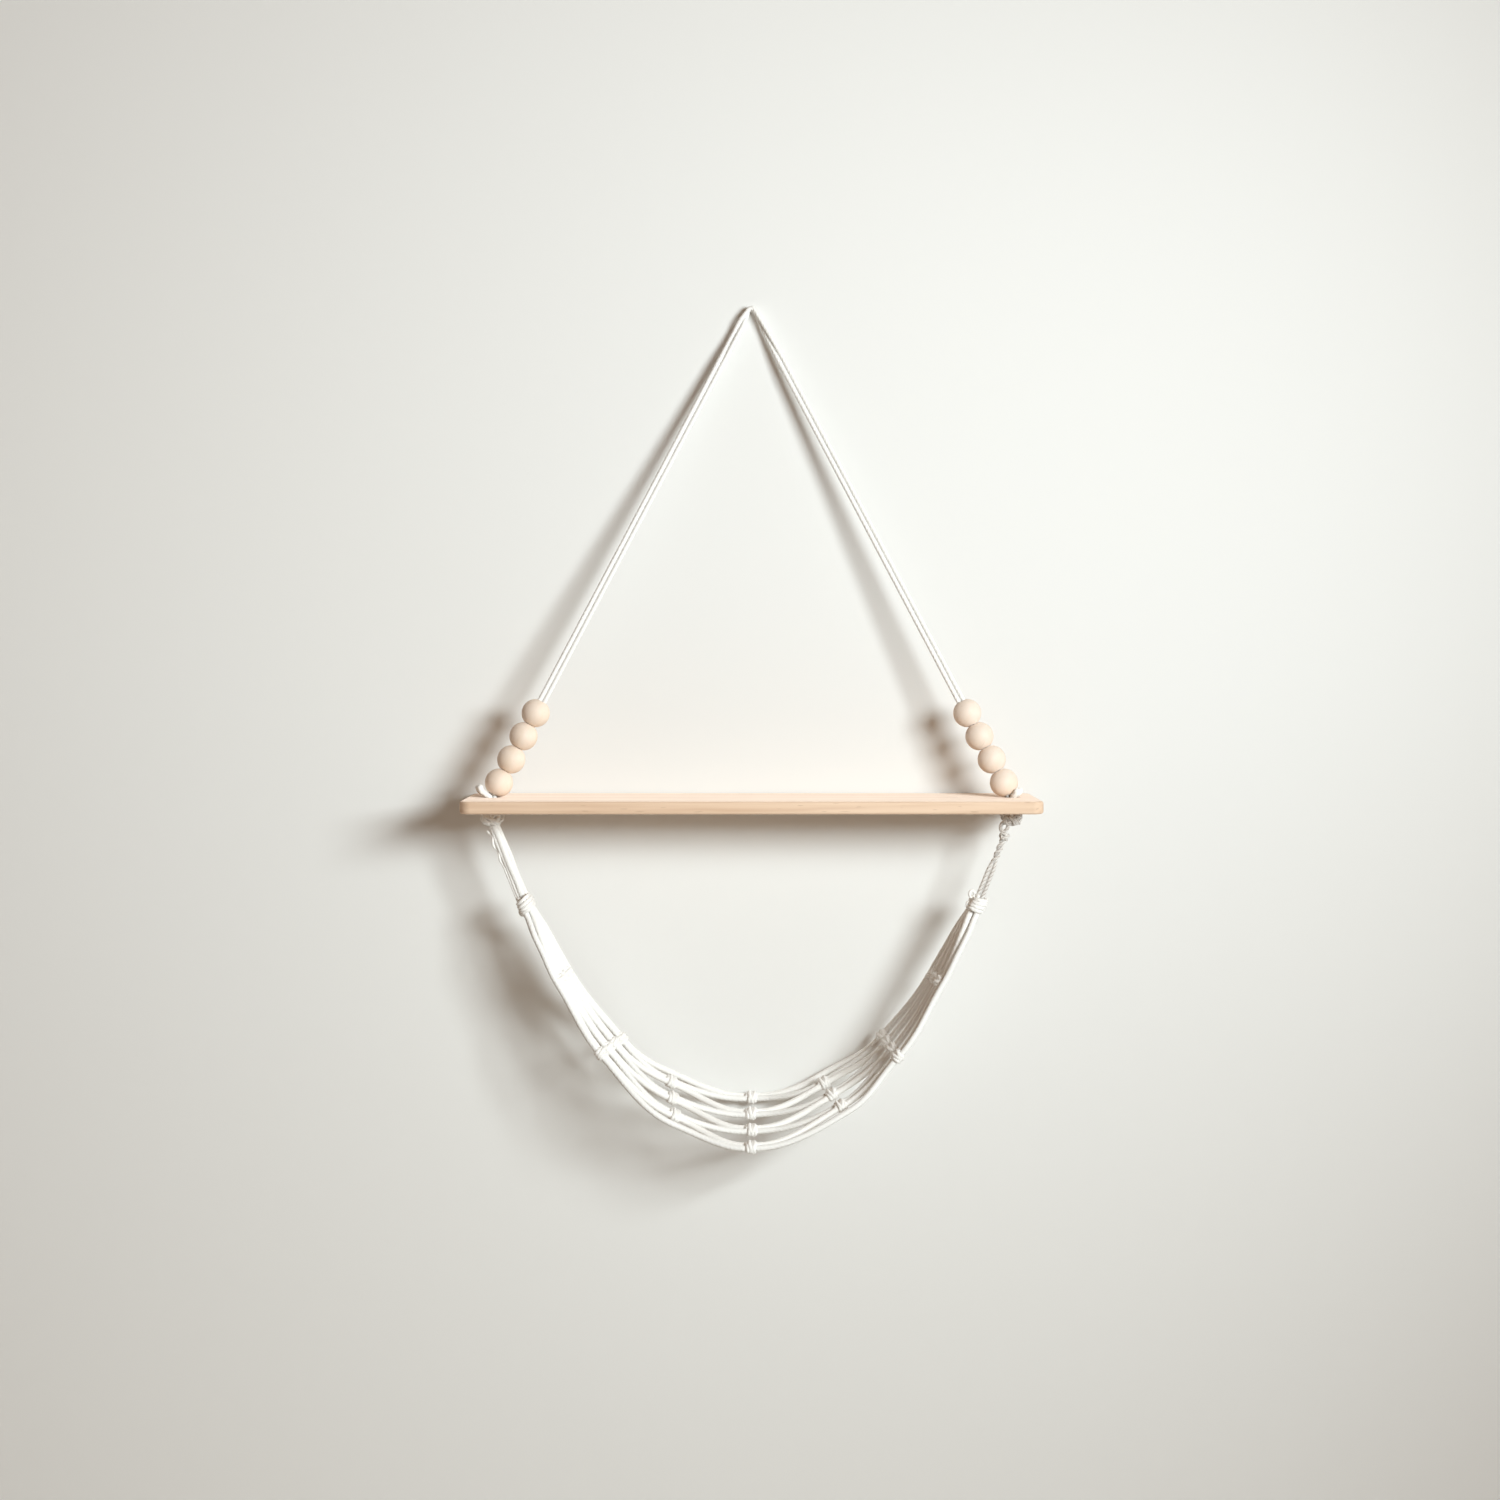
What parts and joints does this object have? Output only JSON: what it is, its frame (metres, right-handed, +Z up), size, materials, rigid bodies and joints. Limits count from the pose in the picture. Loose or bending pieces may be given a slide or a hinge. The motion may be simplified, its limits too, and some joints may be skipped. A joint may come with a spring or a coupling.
{
  "type": "hanging rope shelf",
  "caption": "Narrow wooden wall shelf hung from a nail by a doubled cotton rope threaded with wooden beads, with a knotted cord net slung below like a hammock.",
  "frame": {"origin": "axis of the nail that the rope's bend hangs on, midway between the two strands", "axes": "+X to the right along the board, +Y into the wall, +Z up"},
  "size_m": [0.5, 0.1201, 0.7377],
  "materials": {
    "board_wood": "matte, sanded beech",
    "bead_wood": "matte, unfinished beech",
    "hang_rope": "soft cotton cord",
    "net_cord": "soft cotton cord"
  },
  "bodies": {
    "shelf": {"board": "board_wood", "hang_rope_outer": "hang_rope", "hang_rope_inner": "hang_rope", "stopper_knot_left": "net_cord", "stopper_knot_right": "net_cord", "cord_tail_left_front": "net_cord", "cord_tail_left_back": "net_cord", "cord_tail_right_front": "net_cord", "cord_tail_right_back": "net_cord"},
    "bead_left_1": {"bead_left_1": "bead_wood"},
    "bead_left_2": {"bead_left_2": "bead_wood"},
    "bead_left_3": {"bead_left_3": "bead_wood"},
    "bead_left_4": {"bead_left_4": "bead_wood"},
    "bead_right_1": {"bead_right_1": "bead_wood"},
    "bead_right_2": {"bead_right_2": "bead_wood"},
    "bead_right_3": {"bead_right_3": "bead_wood"},
    "bead_right_4": {"bead_right_4": "bead_wood"},
    "net": {"sinnet_left": "net_cord", "sinnet_right": "net_cord", "gather_knot_left": "net_cord", "gather_knot_right": "net_cord", "net_cord_1": "net_cord", "net_cord_2": "net_cord", "net_cord_3": "net_cord", "net_cord_4": "net_cord", "net_cord_5": "net_cord", "net_cord_6": "net_cord", "net_cord_7": "net_cord", "net_cord_8": "net_cord", "net_knot_left_outer_1": "net_cord", "net_knot_left_outer_2": "net_cord", "net_knot_left_outer_3": "net_cord", "net_knot_left_mid_1": "net_cord", "net_knot_left_mid_2": "net_cord", "net_knot_left_mid_3": "net_cord", "net_knot_left_mid_4": "net_cord", "net_knot_left_inner_1": "net_cord", "net_knot_left_inner_2": "net_cord", "net_knot_left_inner_3": "net_cord", "net_knot_center_1": "net_cord", "net_knot_center_2": "net_cord", "net_knot_center_3": "net_cord", "net_knot_center_4": "net_cord", "net_knot_right_inner_1": "net_cord", "net_knot_right_inner_2": "net_cord", "net_knot_right_inner_3": "net_cord", "net_knot_right_mid_1": "net_cord", "net_knot_right_mid_2": "net_cord", "net_knot_right_mid_3": "net_cord", "net_knot_right_mid_4": "net_cord", "net_knot_right_outer_1": "net_cord", "net_knot_right_outer_2": "net_cord", "net_knot_right_outer_3": "net_cord"}
  },
  "joints": [
    {"name": "bead_left_1_slide", "type": "slide", "parent": "shelf", "child": "bead_left_1", "axis": [0.4599, 0.114, 0.8806], "range_m": [0, 0.088]},
    {"name": "bead_left_2_slide", "type": "slide", "parent": "bead_left_1", "child": "bead_left_2", "axis": [0.4599, 0.114, 0.8806], "range_m": [0, 0.088]},
    {"name": "bead_left_3_slide", "type": "slide", "parent": "bead_left_2", "child": "bead_left_3", "axis": [0.4599, 0.114, 0.8806], "range_m": [0, 0.088]},
    {"name": "bead_left_4_slide", "type": "slide", "parent": "bead_left_3", "child": "bead_left_4", "axis": [0.4599, 0.114, 0.8806], "range_m": [0, 0.088]},
    {"name": "bead_right_1_slide", "type": "slide", "parent": "shelf", "child": "bead_right_1", "axis": [-0.4599, 0.114, 0.8806], "range_m": [0, 0.088]},
    {"name": "bead_right_2_slide", "type": "slide", "parent": "bead_right_1", "child": "bead_right_2", "axis": [-0.4599, 0.114, 0.8806], "range_m": [0, 0.088]},
    {"name": "bead_right_3_slide", "type": "slide", "parent": "bead_right_2", "child": "bead_right_3", "axis": [-0.4599, 0.114, 0.8806], "range_m": [0, 0.088]},
    {"name": "bead_right_4_slide", "type": "slide", "parent": "bead_right_3", "child": "bead_right_4", "axis": [-0.4599, 0.114, 0.8806], "range_m": [0, 0.088]},
    {"name": "net_swing", "type": "hinge", "parent": "shelf", "child": "net", "pos_m": [0, -0.05555, -0.448], "axis": [-1, 0, 0], "range_deg": [0, 70]}
  ]
}
